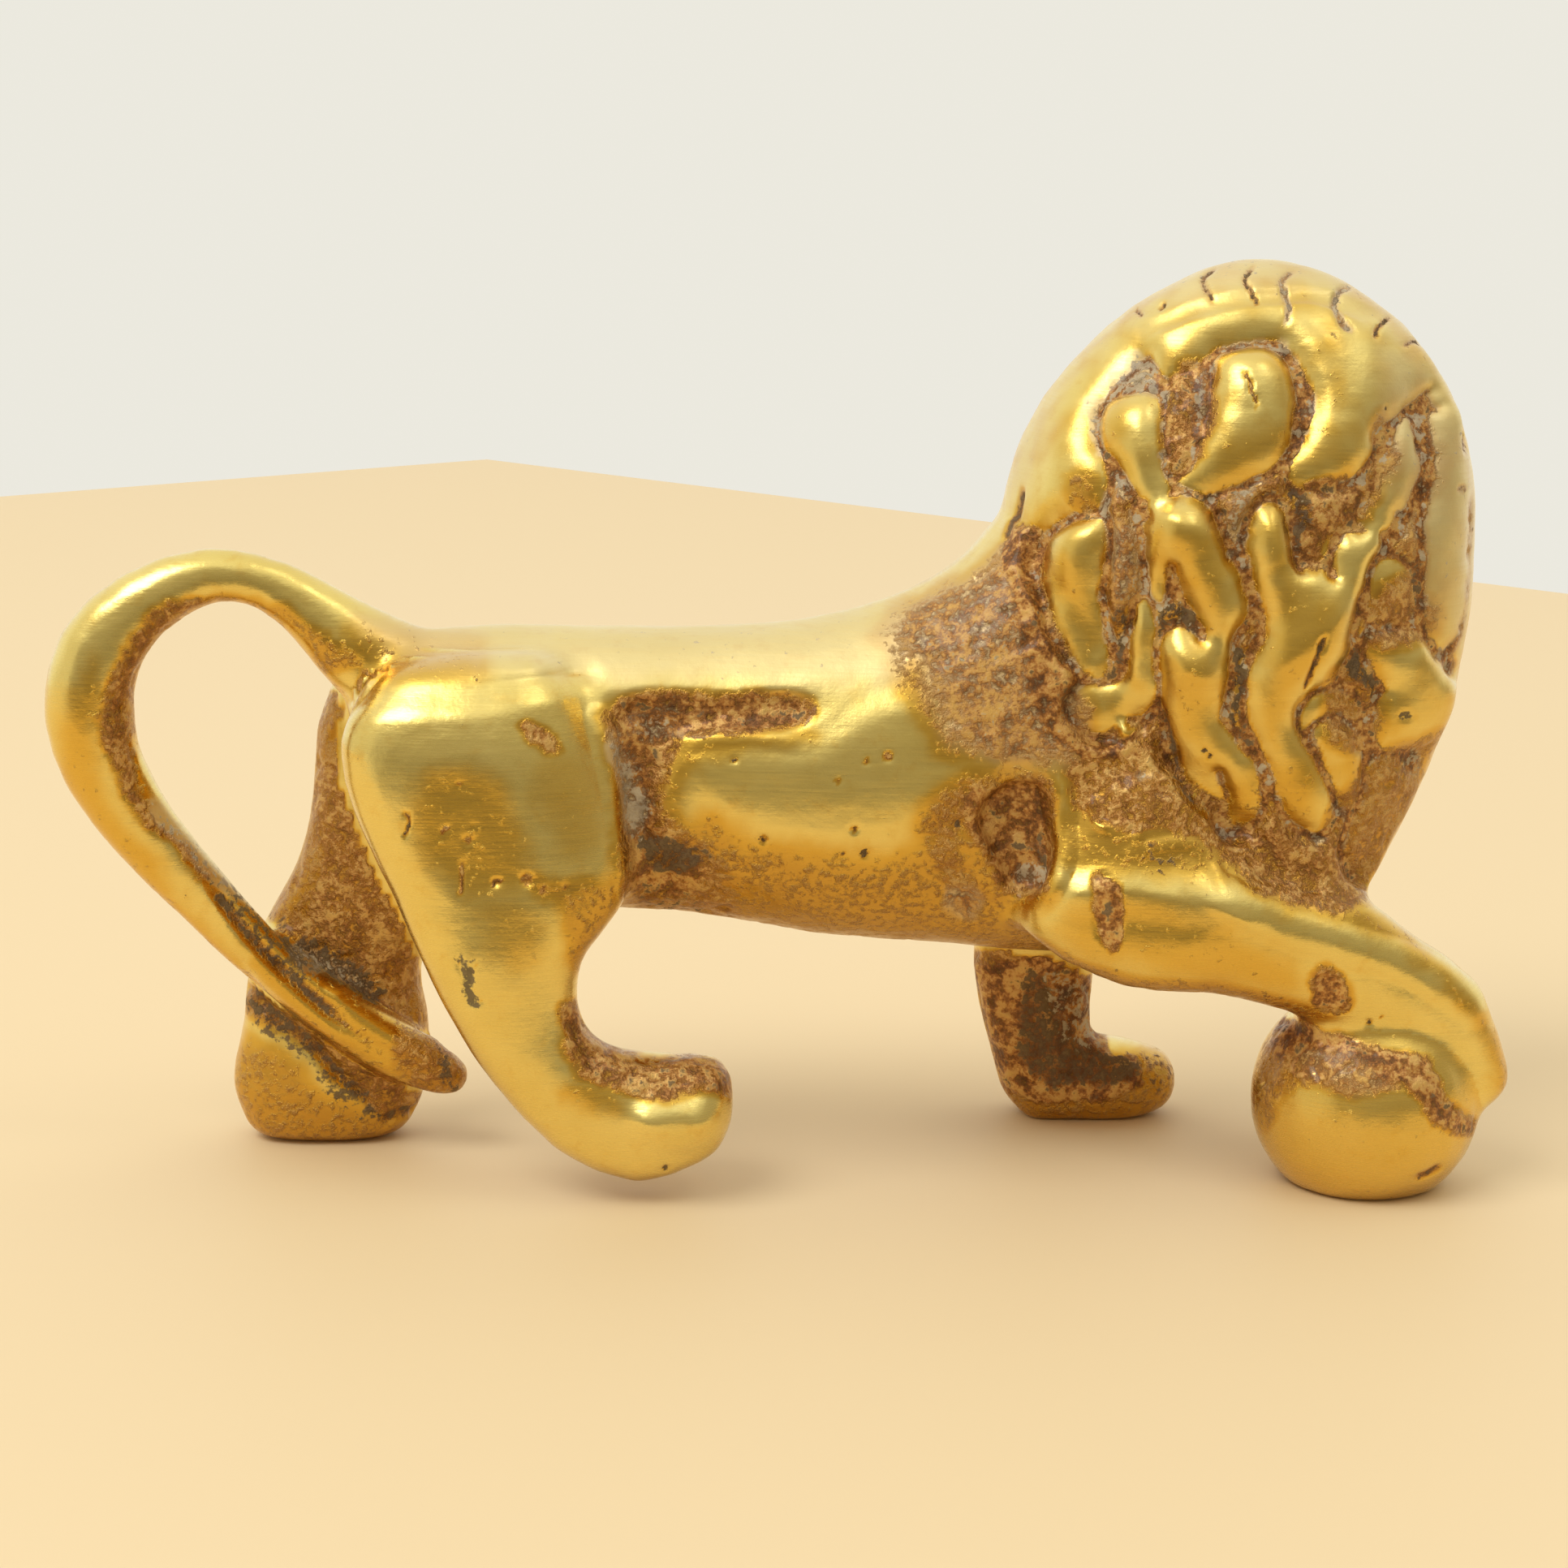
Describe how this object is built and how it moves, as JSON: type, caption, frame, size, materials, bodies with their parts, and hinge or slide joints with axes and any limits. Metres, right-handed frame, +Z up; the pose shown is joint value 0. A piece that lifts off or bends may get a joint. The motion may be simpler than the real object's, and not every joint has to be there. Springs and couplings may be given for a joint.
{
  "type": "brass lion figurine",
  "caption": "Cast brass lion that walks with one forepaw on a ball, its head turned aside, its mane in raised locks and its tail looped back onto a hind leg.",
  "frame": {"origin": "middle of the figure's box, on the surface that it stands on", "axes": "+X from the rump to the head, +Y to the lion's left, where the face looks, +Z up"},
  "size_m": [0.0858, 0.0278, 0.0543],
  "materials": {
    "polished_brass": "worn polish, warm yellow",
    "patinated_brass": "polished high spots over rough brown patina"
  },
  "bodies": {
    "root": {"torso": "patinated_brass", "right_hind_leg": "polished_brass", "left_hind_leg": "patinated_brass", "left_foreleg": "patinated_brass", "right_foreleg": "polished_brass", "ball": "polished_brass", "tail": "polished_brass", "mane": "patinated_brass", "face": "patinated_brass"}
  },
  "joints": []
}
